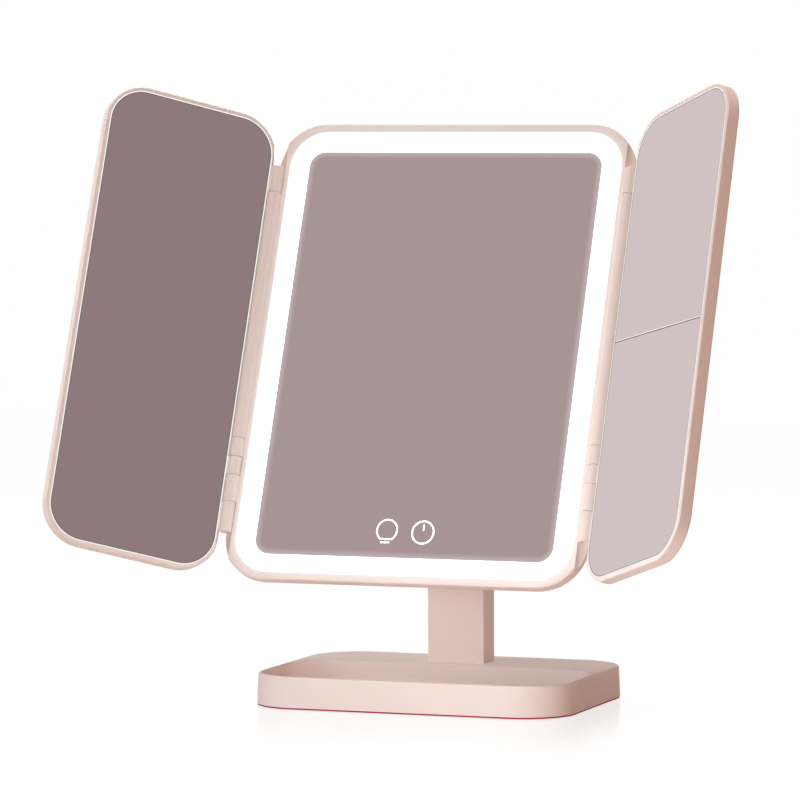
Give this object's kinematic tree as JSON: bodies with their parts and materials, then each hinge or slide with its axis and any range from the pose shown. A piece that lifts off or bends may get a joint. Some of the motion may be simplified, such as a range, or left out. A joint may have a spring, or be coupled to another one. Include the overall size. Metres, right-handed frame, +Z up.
{
  "type": "lighted makeup mirror",
  "caption": "Three-panel makeup mirror with a border of light, two folding wings and magnifying panes, tilting on a post over a tray base.",
  "frame": {"origin": "on the table under the middle of the base", "axes": "+Z up, -Y towards the person at the mirror, +X to that person's right"},
  "size_m": [0.3446, 0.1806, 0.3173],
  "materials": {
    "rose_plastic": "pale rose moulded plastic, low gloss",
    "red_rubber": "dark red anti-slip foam",
    "ballast_iron": "as cast",
    "screw_steel": "zinc plated",
    "spine_steel": "formed steel, lacquered to match",
    "bush_plastic": "natural acetal",
    "sleeve_plastic": "split friction sleeve in the body colour",
    "battery_wrap": "film-wrapped pouch cell",
    "circuit_board": "solder mask",
    "white_board": "white solder mask",
    "led_body": "white LED packages",
    "shield_plastic": "opaque black moulding",
    "opal_plastic": "opal light-diffusing acrylic",
    "wing_foam": "double-sided foam sheet",
    "mirror_glass": "silvered glass"
  },
  "bodies": {
    "base": {"base_tray": "rose_plastic", "base_bottom_cover": "rose_plastic", "anti_slip_mat": "red_rubber", "ballast_blocks": "ballast_iron", "base_screws": "screw_steel", "post_spine": "spine_steel", "post_foot_screws": "screw_steel", "post_front_shell": "rose_plastic", "post_rear_cover": "rose_plastic", "post_cover_screws": "screw_steel", "tilt_head": "rose_plastic", "tilt_head_screws": "screw_steel", "tilt_bush": "bush_plastic"},
    "panel": {"hinge_bracket": "spine_steel", "bracket_screws": "screw_steel", "tilt_shaft": "spine_steel", "tilt_disc_springs": "screw_steel", "tilt_nut": "screw_steel", "rear_housing": "rose_plastic", "service_cover": "rose_plastic", "service_cover_screws": "screw_steel", "battery_pack": "battery_wrap", "control_board": "circuit_board", "charging_socket": "screw_steel", "centre_frame": "rose_plastic", "hinge_friction_sleeves": "sleeve_plastic", "hinge_pins_upper": "screw_steel", "hinge_pins_lower": "screw_steel", "light_ring": "opal_plastic", "centre_mirror": "mirror_glass", "light_shield": "shield_plastic", "touch_board": "circuit_board", "led_board": "white_board", "ring_leds": "led_body"},
    "left_wing": {"left_wing_frame": "rose_plastic", "left_wing_back_cover": "rose_plastic", "left_wing_pad": "wing_foam", "left_wing_mirror": "mirror_glass"},
    "right_wing": {"right_wing_frame": "rose_plastic", "right_wing_back_cover": "rose_plastic", "right_wing_pads": "wing_foam", "right_upper_mirror": "mirror_glass", "right_lower_mirror": "mirror_glass"}
  },
  "joints": [
    {"name": "panel_tilt", "type": "hinge", "parent": "base", "child": "panel", "pos_m": [0, 0.024, 0.2061], "axis": [-1, 0, 0], "range_deg": [-27.5, 27.5]},
    {"name": "left_wing_fold", "type": "hinge", "parent": "panel", "child": "left_wing", "pos_m": [-0.0971, -0.01565, 0.18172], "axis": [0, 0.3827, 0.9239], "range_deg": [-41.4, 138.6]},
    {"name": "right_wing_fold", "type": "hinge", "parent": "panel", "child": "right_wing", "pos_m": [0.0971, -0.01565, 0.18172], "axis": [0, -0.3827, -0.9239], "range_deg": [-44.2, 135.8]}
  ]
}
